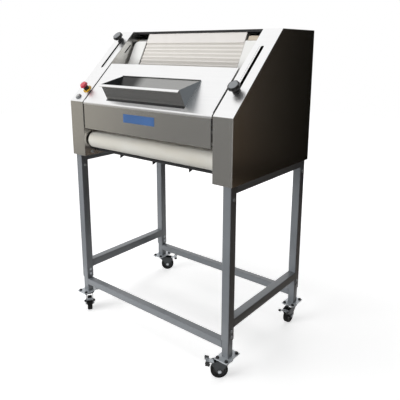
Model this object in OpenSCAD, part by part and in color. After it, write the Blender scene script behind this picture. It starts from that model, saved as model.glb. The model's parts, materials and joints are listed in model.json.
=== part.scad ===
// Baguette moulder on a wheeled stand: housing, feed and moulding belts, drive, controls, stand and casters.
// Millimetres. The origin is on the floor under the middle of the stand, +Z is up and the front faces -Y.

/* [Body] */
// Width over both cheeks
body_w = 980; // [900:10:1100]
// Depth of the body
body_d = 640; // [620:10:700]
// Height of the body's underside above the floor
body_z = 855; // [800:5:920]
// Height of the body
body_h = 605; // [590:5:640]
// Height of the vertical front
front_h = 270; // [260:5:285]
// Front-to-back depth of the slanted front
slope_run = 350; // [330:5:370]
// Width of each cheek
cheek_w = 95; // [90:1:110]
// Sheet metal thickness
sheet = 2; // [1.5:0.5:3]
// Side plate thickness
plate_t = 6; // [5:1:8]

/* [Panels] */
// Height of the front panel
panel_h = 129; // [110:1:140]
// Gap between the cheeks and the panels between them
panel_gap = 6; // [4:1:10]
// Depth of the folded edges of the panels
fold = 25; // [20:1:32]
// Length of the slanted cover up the slope
cover_len = 255; // [240:5:265]
// Radius of the bend at the cover's front edge
nose_r = 14; // [8:1:20]
// Height of the cover's lip below the bend
nose_lip = 4; // [2:1:8]
// Diameter of the cover's hinge rod
hinge_rod_d = 12; // [10:1:14]
// Height of the top panel's front lip
top_lip = 12; // [8:1:18]
// Width of the blank plate on the front panel
label_w = 192; // [120:2:240]
// Height of the blank plate
label_h = 38; // [25:1:50]
// Sideways place of the blank plate
label_x = -13; // [-60:1:60]
// Thickness of the blank plate
label_t = 1; // [0.5:0.5:2]

/* [Tray on the cover] */
// Width of the tray
tray_w = 476; // [380:4:560]
// Distance of the tray's front foot up the slope
tray_start = 30; // [20:1:45]
// Length of the tray up the slope
tray_len = 145; // [120:5:160]
// Rise of the tray's front wall
tray_rise = 70; // [50:1:80]
// Forward lean of the tray's front wall
tray_lean = 36; // [20:1:40]
// Width of the tray's rim
tray_rim = 9; // [6:1:11]

/* [Feed belt] */
// Gap between the ribbed feed belt and the side guides
guide_gap = 4; // [3:0.5:12]
// Opening between the cover's rear edge and the feed belt
throat = 112; // [100:1:120]
// Steepness of the feed belt in degrees
feed_ang = 62; // [58:1:66]
// Depth of the upper feed roller's axis below the top
feed_under = 46.5; // [44:0.5:60]
// Diameter of the feed belt's rollers
feed_roller_d = 50; // [40:1:54]
// Thickness of both belts
belt_t = 3; // [2:0.5:4]
// Spacing of the feed belt's ribs
rib_pitch = 19.5; // [15:0.5:25]
// Width of the ribs
rib_w = 8; // [4:1:12]
// Height of the ribs
rib_out = 2; // [1:0.5:3]
// Height of the guard over the upper feed roller
guard_h = 62; // [45:1:66]
// Width of each white side guide
guide_w = 79; // [60:1:84]
// Distance of the side guides' upper ends below the upper feed roller
guide_short = 20; // [15:1:45]
// Thickness of the side guides
guide_t = 5; // [4:1:8]
// Radius of the side guides' upper outer corner
guide_r = 24; // [8:1:30]

/* [Sheeting rollers] */
// Diameter of the sheeting rollers
sheeting_d = 80; // [70:1:84]
// Gap between the sheeting rollers
nip = 7; // [4:0.5:12]
// Distance of the rear sheeting roller up the slope
sheeting_along = 236; // [225:1:245]
// Depth of the rear sheeting roller's axis below the slope
sheeting_deep = 148; // [140:1:156]
// Diameter of every roller journal
journal_d = 20; // [16:1:24]

/* [Moulding belt] */
// Diameter of the discharge and tail rollers
discharge_d = 72; // [60:1:76]
// Setback of the discharge roller's axis behind the front
discharge_back = 55; // [50:1:70]
// Height of the discharge roller's axis above the body's underside
discharge_up = 79; // [72:1:86]
// Setback of the tail roller's axis from the back
tail_back = 115; // [100:5:140]
// Gap between the moulding belt and its sides
belt_side = 10; // [6:1:16]
// Gap between the moulding belt and the pressure board
board_gap = 20; // [12:1:26]
// Thickness of the pressure board with its felt
board_t = 18; // [12:1:22]
// Length of the pressure board
board_len = 250; // [200:5:270]
// Height of the under tray above the body's underside
under_up = 18; // [16:1:20]
// Setback of the under tray behind the front
under_back = 70; // [64:1:90]
// Spacing of the gussets under the tray
gusset_pitch = 217; // [150:1:260]

/* [Drive] */
// Diameter of the motor
motor_d = 124; // [100:2:130]
// Length of the motor
motor_len = 280; // [200:5:320]
// Side of the gearbox
gearbox = 130; // [110:2:132]
// Diameter of the chain wheels of the main chain
sprocket_d = 76; // [64:1:80]
// Diameter of the chain wheels of the feed chain
feed_sprocket_d = 60; // [48:1:62]
// Thickness of the chains
chain_t = 8; // [6:1:9]

/* [Controls] */
// Sideways place of the slots, from the body's side
slot_in = 50; // [44:1:54]
// Width of the slots
slot_w = 14; // [12:0.5:16]
// Lower end of the right knob's travel, up the slope
gap_low = 130; // [110:1:150]
// Travel of the right knob
gap_travel = 245; // [180:5:260]
// Upper end of the left knob's travel, down from the slope's top
press_down = 66; // [55:1:80]
// Travel of the left knob
press_travel = 185; // [140:5:200]
// Diameter of the knobs
knob_d = 52; // [36:1:60]
// Height of the knobs
knob_h = 18; // [14:1:24]
// Height of the knobs' underside above the slope
knob_lift = 22; // [14:1:30]
// Diameter of the knobs' feet over the slots
foot_d = 34; // [24:1:40]
// Height of the knobs' feet
foot_h = 7; // [4:1:10]
// Diameter of the slide rails
rail_d = 14; // [10:1:16]
// Diameter of the stop button
stop_d = 40; // [30:1:44]
// Distance of the stop button up the slope
stop_along = 79; // [70:1:95]
// Travel of the stop button
stop_travel = 6; // [3:0.5:8]
// Diameter of the start button's bezel
start_d = 30; // [24:1:32]
// Distance of the start button up the slope
start_along = 27; // [22:1:32]
// Travel of the start button
start_travel = 4; // [2:0.5:5]
// Sideways place of the stop button, from the body's side
stop_in = 64; // [40:1:68]
// Sideways place of the start button, from the body's side
start_in = 42; // [36:1:60]

/* [Stand] */
// Side of the upper leg tubes
leg_tube = 40; // [36:1:45]
// Wall of the leg tubes
leg_wall = 2.5; // [2:0.25:3]
// Inset of the legs from the body's sides, front and back
leg_inset = 10; // [6:1:20]
// Height of the lower end of the upper legs
upper_leg_z = 178; // [176:1:190]
// Height of the side stretchers' underside
side_rail_z = 232; // [232:1:320]
// Length of the lower legs inside the upper legs
leg_overlap = 90; // [60:1:120]
// Height of the low stretchers' underside
low_rail_z = 138; // [120:1:140]
// Height of the base channels
channel_h = 33; // [28:1:40]
// Wall of the base channels
channel_wall = 3; // [2.5:0.5:4]
// Diameter of the leg bolts
bolt_d = 8; // [6:1:10]

/* [Casters] */
// Diameter of the wheels
wheel_d = 75; // [70:1:76]
// Width of the wheels
wheel_w = 25; // [20:1:30]
// Height of the casters
caster_h = 100; // [99:1:110]
// Distance of the wheel's axle behind the swivel
trail = 33; // [28:1:38]
// Width of the top plates
caster_plate_w = 66; // [60:1:80]
// Length of the top plates
caster_plate_l = 98; // [90:1:110]
// Thickness of the top plates
caster_plate_t = 4; // [3:0.5:5]
// Spacing of the plate's holes across
hole_x = 46; // [44:1:50]
// Spacing of the plate's holes along
hole_y = 76; // [70:1:80]
// Diameter of the plate's holes
hole_d = 9; // [8:0.5:11]
// Diameter of the wheel's axle
axle_d = 10; // [8:1:12]
// Swivel angle of the front left caster
turn_fl = 323; // [0:1:359]
// Swivel angle of the front right caster
turn_fr = 222; // [0:1:359]
// Swivel angle of the rear left caster
turn_rl = 42; // [0:1:359]
// Swivel angle of the rear right caster
turn_rr = 270; // [0:1:359]

/* [Fits] */
// Radial clearance of running fits
run = 0.05; // [0.02:0.01:0.1]
// Clearance between pieces that move past each other
clear = 0.3; // [0.2:0.1:0.6]
// Gap between tubes welded to each other
weld = 0.1; // [0.05:0.05:0.2]
// Gap under pieces that sit on the slanted faces
seat = 0.05; // [0.02:0.01:0.1]

/* [Hidden] */
$fn = 64;
over = 1;
LEFT = -1;
RIGHT = 1;

// Main lines of the body in its side view, as [y, z]
half_w = body_w / 2;
inner = half_w - cheek_w;
y_front = -body_d / 2;
y_back = body_d / 2;
z_slope = body_z + front_h;
z_top = body_z + body_h;
slope_rise = body_h - front_h;
slope_ang = atan2(slope_rise, slope_run);
slope_len = norm([slope_run, slope_rise]);
function on_slope(along, lift) = [y_front + along * cos(slope_ang) - lift * sin(slope_ang),
    z_slope + along * sin(slope_ang) + lift * cos(slope_ang)];

// Side outline of the body, drawn in by a thickness and let down below the underside by a drop
function front_edge(t) = t * (1 - sin(slope_ang)) / cos(slope_ang);
function top_edge(t) = (slope_rise - t + t * cos(slope_ang)) / sin(slope_ang);
function body_outline(t, drop) = [[y_front + t, body_z - drop], on_slope(front_edge(t), -t),
    on_slope(top_edge(t), -t), [y_back - t, z_top - t], [y_back - t, body_z - drop]];

// Panels and the cover's hinge
panel_half = inner - panel_gap;
panel_bottom = z_slope - panel_h;
knuckle_r = hinge_rod_d / 2 + 3;
hinge_c = on_slope(cover_len - knuckle_r, -sheet - knuckle_r + sheet / 4);
spacer_d = 16;
nose_c = on_slope(front_edge(nose_r), -nose_r);
nose_low = nose_c[1] - nose_lip;
NOSE_STEPS = 8;
function nose_arc(r, a0, a1) = [for (i = [0:NOSE_STEPS]) let (a = a0 + (a1 - a0) * i / NOSE_STEPS)
    nose_c + r * [cos(a), sin(a)]];
cover_fold = fold * 0.8;

// Tray on the cover
tray_foot = on_slope(tray_start, sheet / 2);
tray_tip = [tray_foot[0] - tray_lean, tray_foot[1] + tray_rise];
tray_rear = on_slope(tray_start + tray_len, sheet);
tray_lip = 6;

// Feed belt: a plane behind the throat, steeper than the slope
feed_r = feed_roller_d / 2;
feed_belt_r = feed_r + clear;
cover_edge = on_slope(cover_len, 0);
feed_at = [cover_edge[0] + throat, cover_edge[1] - 8];
function feed_along(z, lift) = (z - feed_at[1] - lift * cos(feed_ang)) / sin(feed_ang);
function on_feed(along, lift) = [feed_at[0] + along * cos(feed_ang) - lift * sin(feed_ang),
    feed_at[1] + along * sin(feed_ang) + lift * cos(feed_ang)];
feed_low_along = -20;
feed_low_c = on_feed(feed_low_along, -feed_belt_r - belt_t);
feed_len = (z_top - feed_under - feed_low_c[1]) / sin(feed_ang);
feed_up_c = on_feed(feed_low_along + feed_len, -feed_belt_r - belt_t);
guard_lift = rib_out + 3 * clear;
guard_out = guard_lift + sheet;
guard_flange = 40;
guide_in = 12;
guide_low = feed_low_along;
guide_len = feed_len - guide_short;
guide_x = inner - guide_in;
feed_w = 2 * (guide_x - guide_w - guide_gap);
guide_fold = feed_belt_r + belt_t - journal_d / 2 - 3;
peg_d = 10;

// Sheeting rollers and the carrier of the front one
sheeting_r = sheeting_d / 2;
journal_r = journal_d / 2;
rear_c = on_slope(sheeting_along, -sheeting_deep);
front_c = [rear_c[0] - sheeting_d - nip, rear_c[1]];
carrier_rod_d = 16;
carrier_c = [front_c[0] - sheeting_d, front_c[1] - sheeting_d * 0.8];
arm_t = 8;
arm_half = 10;
arm_x = inner - 7 - arm_t;
sheeting_half = arm_x - 4;

// Moulding belt, pressure board, chute and under tray
discharge_r = discharge_d / 2;
belt_in_r = discharge_r + clear;
discharge_c = [y_front + discharge_back, body_z + discharge_up];
tail_c = [y_back - tail_back, discharge_c[1]];
belt_half = inner - belt_side;
belt_top = discharge_c[1] + belt_in_r + belt_t;
board_rod_d = 16;
board_hub_r = board_rod_d / 2 + 4;
board_c = [discharge_c[0] + 30 + board_len, belt_top + board_gap + board_hub_r];
board_half = belt_half - 15;
chute_top = [rear_c[0] - sheeting_d * 1.15, rear_c[1] - sheeting_d * 0.7];
chute_low = [(board_c[0] + tail_c[0]) / 2, belt_top + board_gap + board_hub_r];
under_z = body_z + under_up;
under_front = y_front + under_back;
under_half = inner - 8;
lip_h = 12;
gusset_h = 15;
gusset_l = 45;
gusset_t = 3;
tie_bar = under_up - 2;
side_bolt_back = 46;

// Vent in the side plates and cable gland in the rear panel
vent_len = 58;
vent_down = 64;
vent_start = slope_len - vent_len - vent_down;
vent_deep = 29;
vent_w = 6;
gland_thread = 16;
gland_bore = 9;
gland_in = 95;
gland_up = 60;
gland_x = inner - gland_in;
gland_z = body_z + gland_up;
gland_l = 20;

// Drive: chain plane, shafts and motor
SHAFTS = [discharge_c, tail_c, rear_c, feed_up_c, feed_low_c];
bush_wall = 6;
bush_flange = 4;
chain_x = inner + plate_t + 12;
chain_w = 8;
shaft_end = inner + plate_t + bush_flange + 4;
motor_c = [y_back - motor_d / 2 - 43, rear_c[1] + 5];
motor_left = -190;
gearbox_l = 120;
shelf_t = 8;
shelf_z = motor_c[1] - gearbox / 2 - 5 - shelf_t;
shelf_d = gearbox + 20;

// Sliding knobs on their rails inside the cheeks
slot_x = half_w - slot_in;
rail_deep = 45;
rail_end = 18;
block = [24, 40, 26];
stem_d = slot_w - 3;
press_high = slope_len - press_down;
press_low = press_high - press_travel;
gap_high = gap_low + gap_travel;

// Stop and start buttons
stop_x = half_w - stop_in;
start_x = half_w - start_in;
stop_stem_d = stop_d * 0.4;
ring_t = 3;
collar_h = 16;
start_cap_d = start_d * 0.62;
bezel_h = 6;

// Stand
leg_x = half_w - leg_inset - leg_tube / 2;
leg_y = body_d / 2 - leg_inset - leg_tube / 2;
leg_in = leg_tube - 2 * leg_wall;
low_tube = leg_in - 2 * clear;
low_top = upper_leg_z + leg_overlap;
leg_top = body_z - channel_wall;
stub_l = 90;
stub_bolt_down = 57;
stub_bolt_z = body_z - stub_bolt_down;
low_bolt_up = 20;
low_bolt_pitch = 25;
low_bolts = [upper_leg_z + low_bolt_up, upper_leg_z + low_bolt_up + low_bolt_pitch];

// Casters: the trail runs along +X in each caster's own frame
wheel_r = wheel_d / 2;
axle_r = axle_d / 2;
CORNERS = [[-leg_x, -leg_y], [leg_x, -leg_y], [-leg_x, leg_y], [leg_x, leg_y]];
TURNS = [turn_fl, turn_fr, turn_rl, turn_rr];
FL = 0;
FR = 1;
RL = 2;
RR = 3;
race_h = 8;
race_r = 25;
crown_top = caster_h - caster_plate_t - race_h - clear;
crown_t = 5;
crown_r = 27;
king_r = 6;
king_head_r = 11;
king_head_t = 5;
fork_in = wheel_w / 2 + 3;
fork_t = 3;
fork_out = fork_in + fork_t;
fork_boss_r = axle_r + 6;
pedal_pin_r = 3;
pedal_hub_r = 5;
pedal_at = [trail + 27, wheel_r + 34.5];
pedal_tilt = 14;
pedal_arm = 36;
pedal_bar = 16;
pedal_half = wheel_w + 3;
pedal_t = 2.5;
pedal_over = pedal_hub_r - 0.5;
pedal_under = pedal_over - pedal_t;
pedal_arm_half = fork_in - 3;

// Helpers: side views pulled along X, round bars along X, and places on the two slanted planes
module along_x(x0, x1) translate([x0, 0, 0]) rotate([90, 0, 90]) linear_extrude(x1 - x0) children();

module bar_x(at, r, x0, x1) translate([x0, at[0], at[1]]) rotate([0, 90, 0]) cylinder(r = r, h = x1 - x0);

module on_face(x, along, lift) {
    at = on_slope(along, lift);
    translate([x, at[0], at[1]]) rotate([slope_ang, 0, 0]) children();
}

module on_feed_face(x, along, lift) {
    at = on_feed(along, lift);
    translate([x, at[0], at[1]]) rotate([feed_ang, 0, 0]) children();
}

module slope_strip(a0, a1, l0, l1)
    polygon([on_slope(a0, l0), on_slope(a1, l0), on_slope(a1, l1), on_slope(a0, l1)]);

module box(x0, x1, y0, y1, z0, z1) translate([x0, y0, z0]) cube([x1 - x0, y1 - y0, z1 - z0]);

// Flat bar between two points of a side view, and one with round ends
module bar_between(a, b, half) {
    d = b - a;
    translate(a) rotate(atan2(d[1], d[0])) translate([0, -half]) square([norm(d), 2 * half]);
}

module link(a, b, r) {
    translate(a) circle(r);
    translate(b) circle(r);
    bar_between(a, b, r);
}

// Closed belt round two rollers
module loop(a, b, r_in, t) difference() {
    link(a, b, r_in + t);
    link(a, b, r_in);
}

// Long hole in the slanted wall of a cheek
module slot_cut(x, a0, a1) on_face(x, a0, -sheet - over) {
    cylinder(d = slot_w, h = sheet + 2 * over);
    translate([0, a1 - a0, 0]) cylinder(d = slot_w, h = sheet + 2 * over);
    translate([-slot_w / 2, 0, 0]) cube([slot_w, a1 - a0, sheet + 2 * over]);
}

module mirrored(side) mirror([side == LEFT ? 1 : 0, 0, 0]) children();

// Stand
module tube_z(x, y, side, wall, z0, z1) translate([x, y, z0]) difference() {
    translate([-side / 2, -side / 2, 0]) cube([side, side, z1 - z0]);
    translate([wall - side / 2, wall - side / 2, -over])
        cube([side - 2 * wall, side - 2 * wall, z1 - z0 + 2 * over]);
}

module bolt_hole(x, y, z) translate([x - leg_tube, y, z]) rotate([0, 90, 0])
    cylinder(d = bolt_d + 2 * weld, h = 2 * leg_tube);

module leg_holes(x, y) {
    for (z = low_bolts) bolt_hole(x, y, z);
    bolt_hole(x, y, stub_bolt_z);
}

module side_frame(side) color("slategray") {
    for (y = [-leg_y, leg_y]) difference() {
        tube_z(side * leg_x, y, leg_tube, leg_wall, upper_leg_z, leg_top);
        leg_holes(side * leg_x, y);
    }
    reach = leg_y - leg_tube / 2 - weld;
    difference() {
        box(side * leg_x - leg_tube / 2, side * leg_x + leg_tube / 2, -reach, reach,
            side_rail_z, side_rail_z + leg_tube);
        box(side * leg_x - leg_in / 2, side * leg_x + leg_in / 2, -reach - over, reach + over,
            side_rail_z + leg_wall, side_rail_z + leg_tube - leg_wall);
    }
}

module base_frame(y) color("slategray") {
    for (x = [-leg_x, leg_x]) difference() {
        tube_z(x, y, low_tube, leg_wall, caster_h, low_top);
        leg_holes(x, y);
    }
    reach = leg_x - low_tube / 2 - weld;
    low_in = low_tube / 2 - leg_wall;
    difference() {
        box(-reach, reach, y - low_tube / 2, y + low_tube / 2, low_rail_z, low_rail_z + low_tube);
        box(-reach - over, reach + over, y - low_in, y + low_in,
            low_rail_z + leg_wall, low_rail_z + low_tube - leg_wall);
    }
}

// Channel between the legs, whose web runs on over their tops and carries a stub inside each
module base_channel(side) color("dimgray") {
    w = leg_tube / 2;
    reach = leg_y - w - weld;
    box(side * leg_x - w, side * leg_x + w, -leg_y - w, leg_y + w, leg_top, body_z);
    for (x = [-w, w - channel_wall])
        box(side * leg_x + x, side * leg_x + x + channel_wall, -reach, reach, body_z - channel_h, body_z - weld);
    for (y = [-leg_y, leg_y]) difference() {
        translate([side * leg_x - low_tube / 2, y - low_tube / 2, leg_top - weld - stub_l])
            cube([low_tube, low_tube, stub_l]);
        leg_holes(side * leg_x, y);
    }
}

module leg_bolt(x, y, z) translate([x, y, z]) rotate([0, 90, 0]) {
    translate([0, 0, -leg_tube / 2]) cylinder(d = bolt_d, h = leg_tube);
    for (e = [-1, 1]) translate([0, 0, e * (leg_tube / 2 + bolt_d / 4) - bolt_d / 4])
        cylinder(d = bolt_d * 1.8, h = bolt_d / 2, $fn = 6);
}

module frame_bolts() color("darkgray") {
    for (c = CORNERS) for (z = [low_bolts[0], low_bolts[1], stub_bolt_z]) leg_bolt(c[0], c[1], z);
    for (s = [LEFT, RIGHT]) translate([s * inner, y_front + side_bolt_back, under_z - bolt_d / 4])
        rotate([0, -s * 90, 0]) cylinder(d = bolt_d * 1.8, h = bolt_d * 0.7, $fn = 6);
}

// Casters
module at_caster(i) translate([CORNERS[i][0], CORNERS[i][1], 0]) rotate([0, 0, TURNS[i]]) children();

module caster_plates() color("silver") for (i = [FL, FR, RL, RR]) translate([CORNERS[i][0], CORNERS[i][1], 0])
    difference() {
        union() {
            box(-caster_plate_w / 2, caster_plate_w / 2, -caster_plate_l / 2, caster_plate_l / 2,
                caster_h - caster_plate_t, caster_h);
            translate([0, 0, crown_top + clear]) cylinder(r = race_r, h = race_h);
            translate([0, 0, crown_top - crown_t - clear]) cylinder(r = king_r, h = crown_t + 2 * clear);
            translate([0, 0, crown_top - crown_t - clear - king_head_t])
                cylinder(r = king_head_r, h = king_head_t);
        }
        for (x = [-hole_x / 2, hole_x / 2]) for (y = [-hole_y / 2, hole_y / 2])
            translate([x, y, caster_h - caster_plate_t - over])
                cylinder(d = hole_d, h = caster_plate_t + 2 * over);
    }

module fork_cheek() difference() {
    union() {
        polygon([[-crown_r + 9, crown_top - crown_t / 2], [crown_r - 3, crown_top - crown_t / 2],
            pedal_at + [pedal_hub_r, pedal_hub_r], pedal_at + [pedal_hub_r + 2, -3],
            [trail + fork_boss_r, wheel_r], [trail - fork_boss_r, wheel_r]]);
        translate([trail, wheel_r]) circle(fork_boss_r);
    }
    translate([trail, wheel_r]) circle(axle_r + run);
    translate(pedal_at) circle(pedal_pin_r + run);
}

module pin_y(at, r, half) translate([at[0], half, at[1]]) rotate([90, 0, 0]) cylinder(r = r, h = 2 * half);

module caster_fork(i) color("darkslategray") at_caster(i) {
    difference() {
        union() {
            translate([0, 0, crown_top - crown_t]) cylinder(r = crown_r, h = crown_t);
            for (y = [fork_out, -fork_in]) translate([0, y, 0]) rotate([90, 0, 0])
                linear_extrude(fork_t) fork_cheek();
        }
        translate([0, 0, crown_top - crown_t - over]) cylinder(r = king_r + run, h = crown_t + 2 * over);
    }
    pin_y([trail, wheel_r], axle_r, fork_out + weld);
    for (e = [-1, 1]) translate([trail, e * (fork_out + weld + 2.5) + 2.5, wheel_r]) rotate([90, 0, 0])
        cylinder(r = axle_r * 1.6, h = 5, $fn = 6);
    pin_y(pedal_at, pedal_pin_r, fork_out + 1);
}

// Half outline of the wheel: hub, web and a tread with round shoulders
module wheel_half() {
    shoulder = 4;
    rim = wheel_r - 10;
    square([axle_r + 6, fork_in - clear]);
    square([rim + 1, wheel_w / 5]);
    translate([rim, 0]) square([wheel_r - rim, wheel_w / 2 - shoulder]);
    translate([rim, 0]) square([wheel_r - rim - shoulder, wheel_w / 2]);
    translate([wheel_r - shoulder, wheel_w / 2 - shoulder]) circle(shoulder);
}

module caster_wheel(i) color("black") at_caster(i) translate([trail, 0, wheel_r]) rotate([90, 0, 0])
    rotate_extrude() difference() {
        union() {
            wheel_half();
            mirror([0, 1]) wheel_half();
        }
        translate([-over, -wheel_w]) square([axle_r + run + over, 2 * wheel_w]);
    }

module brake_pedal(i) color("gainsboro") at_caster(i) translate([pedal_at[0], 0, pedal_at[1]])
    difference() {
        union() {
            pin_y([0, 0], pedal_hub_r, fork_in - clear);
            rotate([0, -pedal_tilt, 0]) {
                box(0, pedal_arm, -pedal_arm_half, pedal_arm_half, pedal_under, pedal_over);
                box(pedal_arm - pedal_bar, pedal_arm, -pedal_half, pedal_half, pedal_under, pedal_over);
                box(pedal_arm - pedal_t, pedal_arm, -pedal_half, pedal_half, -pedal_hub_r, pedal_over);
            }
        }
        pin_y([0, 0], pedal_pin_r + run, fork_in + over);
    }

// Housing
module side_plate(side) color("silver") mirrored(side) difference() {
    union() {
        along_x(inner, inner + plate_t) polygon(body_outline(sheet + clear, 0));
        box(inner, half_w - sheet - clear, y_front + 2 * fold, y_back - 2 * fold, body_z, body_z + plate_t);
    }
    for (c = side == LEFT ? concat(SHAFTS, [motor_c]) : SHAFTS)
        bar_x(c, journal_r + bush_wall + run, inner - over, inner + plate_t + over);
    along_x(inner - over, inner + plate_t + over)
        slope_strip(vent_start, vent_start + vent_len, -vent_deep - vent_w, -vent_deep);
}

module cheek_shell() difference() {
    along_x(inner, half_w) polygon(body_outline(0, 0));
    along_x(inner - over, half_w - sheet) polygon(body_outline(sheet, over));
}

module cheek_cover(side) color("lightgray") difference() {
    mirrored(side) cheek_shell();
    if (side == RIGHT) slot_cut(slot_x, gap_low, gap_high);
    if (side == LEFT) {
        slot_cut(-slot_x, press_low, press_high);
        on_face(-stop_x, stop_along, -sheet - over) cylinder(d = stop_stem_d + 4, h = sheet + 2 * over);
        on_face(-start_x, start_along, -sheet - over) cylinder(d = start_cap_d + 4, h = sheet + 2 * over);
    }
}

module front_panel() color("darkgray") {
    along_x(-panel_half, panel_half) {
        translate([y_front, panel_bottom]) square([sheet, nose_low - clear - panel_bottom]);
        translate([y_front, panel_bottom]) square([fold, sheet]);
        translate([y_front, nose_low - clear - sheet]) square([fold, sheet]);
    }
    for (s = [LEFT, RIGHT]) mirrored(s)
        box(panel_half - sheet, panel_half, y_front, y_front + fold, panel_bottom, z_slope - 2 * fold);
}

module rear_panel() color("lightgray") difference() {
    union() {
        box(-inner, inner, y_back - sheet, y_back, body_z + fold / 2, z_top - sheet);
        for (s = [LEFT, RIGHT]) mirrored(s)
            box(inner - sheet, inner, y_back - fold, y_back - sheet / 2, body_z + fold / 2, z_top - sheet);
    }
    translate([gland_x, y_back - sheet - over, gland_z]) rotate([-90, 0, 0])
        cylinder(d = gland_thread + 2 * run, h = sheet + 2 * over);
}

module top_panel() color("lightgray") {
    y0 = on_feed(feed_along(z_top - top_lip, guard_out), guard_out)[0] - sheet - clear;
    box(-inner, inner, y0, y_back, z_top - sheet, z_top);
    box(-inner, inner, y0, y0 + sheet, z_top - top_lip, z_top);
    for (s = [LEFT, RIGHT]) mirrored(s)
        box(inner - sheet, inner, y0, y_back - fold - sheet, z_top - fold, z_top);
}

module under_tray() color("dimgray") {
    box(-under_half, under_half, under_front, tail_c[0], under_z, under_z + sheet);
    box(-under_half, under_half, under_front, under_front + sheet, under_z, under_z + lip_h);
    for (i = [-1, 0, 1]) along_x(i * gusset_pitch - gusset_t / 2, i * gusset_pitch + gusset_t / 2)
        polygon([[under_front, under_z + sheet / 2], [under_front, under_z - gusset_h],
            [under_front + gusset_l, under_z], [under_front + gusset_l, under_z + sheet / 2]]);
}

// Fixed bars from side plate to side plate, spacers of the front panel and pegs of the side guides
module tie_rods() color("silver") {
    bar_x(hinge_c, hinge_rod_d / 2, -inner, inner);
    bar_x(carrier_c, carrier_rod_d / 2, -inner, inner);
    bar_x(board_c, board_rod_d / 2, -inner, inner);
    for (y = [under_front + gusset_l + 10, tail_c[0] - 3 * tie_bar])
        box(-inner, inner, y, y + tie_bar, under_z - tie_bar, under_z);
    for (s = [LEFT, RIGHT]) mirrored(s) {
        for (z = [panel_bottom + spacer_d, z_slope - 2 * fold - spacer_d])
            bar_x([y_front + fold / 2 + 1, z], spacer_d / 2, panel_half, inner);
        for (a = [guide_low + guide_len * 0.2, guide_low + guide_len * 0.8])
            bar_x(on_feed(a, -guide_fold / 2), peg_d / 2, guide_x, inner);
    }
}

module bush(c, side) mirrored(side) difference() {
    union() {
        bar_x(c, journal_r + bush_wall, inner, inner + plate_t + bush_flange);
        bar_x(c, journal_r + 2 * bush_wall, inner + plate_t, inner + plate_t + bush_flange);
    }
    bar_x(c, journal_r + run, inner - over, shaft_end);
}

module bearings() color("peru") {
    for (c = SHAFTS) for (s = [LEFT, RIGHT]) bush(c, s);
    bush(motor_c, LEFT);
}

module slanted_cover() color("whitesmoke") difference() {
    union() {
        along_x(-panel_half, panel_half) polygon(concat([on_slope(cover_len, 0)],
            nose_arc(nose_r, 90 + slope_ang, 180), [[y_front, nose_low], [y_front + sheet, nose_low]],
            nose_arc(nose_r - sheet, 180, 90 + slope_ang), [on_slope(cover_len, -sheet)]));
        for (s = [LEFT, RIGHT]) mirrored(s) along_x(panel_half - sheet, panel_half)
            slope_strip(2 * fold, cover_len - 2 * knuckle_r - sheet, -cover_fold, -sheet / 2);
        bar_x(hinge_c, knuckle_r, -panel_half, panel_half);
    }
    bar_x(hinge_c, hinge_rod_d / 2 + run, -inner, inner);
}

module cover_tray() color("silver") {
    half = tray_w / 2;
    wall = sheet * [tray_rise, tray_lean] / norm([tray_rise, tray_lean]);
    along_x(-half, half) {
        slope_strip(tray_start, tray_start + tray_len, seat, sheet);
        slope_strip(tray_start + tray_len - sheet, tray_start + tray_len, seat, tray_lip);
        polygon([tray_foot, tray_tip, tray_tip + wall, tray_foot + wall]);
        polygon([tray_tip, tray_tip + [-tray_rim, 0], tray_tip + [-tray_rim, -sheet],
            tray_tip + [sheet, -sheet], tray_tip + wall]);
    }
    for (s = [LEFT, RIGHT]) mirrored(s) along_x(half - sheet, half) polygon([tray_foot, tray_tip, tray_rear]);
}

module blank_plate() color("royalblue")
    box(label_x - label_w / 2, label_x + label_w / 2, y_front - label_t, y_front,
        panel_bottom + panel_h * 0.58 - label_h / 2, panel_bottom + panel_h * 0.58 + label_h / 2);

// Cable gland low on the back: thread through the panel, body outside, a bore for a lead
module cable_gland() color("black") translate([gland_x, y_back, gland_z]) rotate([-90, 0, 0]) difference() {
    union() {
        translate([0, 0, -sheet - 8]) cylinder(d = gland_thread, h = sheet + 8 + over);
        cylinder(d = gland_thread * 1.5, h = gland_l / 2, $fn = 6);
        cylinder(d = gland_thread * 1.2, h = gland_l);
        translate([0, 0, -sheet - 6]) cylinder(d = gland_thread * 1.5, h = 6, $fn = 6);
    }
    translate([0, 0, -sheet - 8 - over]) cylinder(d = gland_bore, h = gland_l + sheet + 8 + 2 * over);
}

// Feed belt and what stands beside it
module feed_belt() color("linen") {
    reach = feed_belt_r + belt_t;
    sunk = belt_t / 2;
    translate([0, feed_low_c[0], feed_low_c[1]]) rotate([feed_ang, 0, 0]) along_x(-feed_w / 2, feed_w / 2) {
        loop([0, 0], [feed_len, 0], feed_belt_r, belt_t);
        for (x = [rib_pitch / 2:rib_pitch:feed_len - rib_w]) for (y = [reach - sunk, -reach - rib_out])
            translate([x - rib_w / 2, y]) square([rib_w, rib_out + sunk]);
    }
}

// Guard strip whose folded top lies under the top panel
module feed_guard() color("antiquewhite") {
    z = z_top - sheet;
    front = feed_along(z, guard_out);
    corner = on_feed(front, guard_out);
    low = front - guard_h;
    along_x(-feed_w / 2, feed_w / 2) polygon([on_feed(low, guard_lift), on_feed(low, guard_out), corner,
        corner + [guard_flange, 0], corner + [guard_flange, -sheet],
        on_feed(feed_along(z - sheet, guard_lift), guard_lift)]);
}

module side_guide(side) color("white") mirrored(side) {
    on_feed_face(guide_x - guide_w, guide_low, 0) linear_extrude(guide_t) {
        square([guide_w, guide_len - guide_r]);
        square([guide_w - guide_r, guide_len]);
        translate([guide_w - guide_r, guide_len - guide_r]) circle(guide_r);
    }
    on_feed_face(guide_x - guide_t, guide_low, -guide_fold)
        cube([guide_t, guide_len - guide_r, guide_fold + guide_t / 2]);
}

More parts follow.
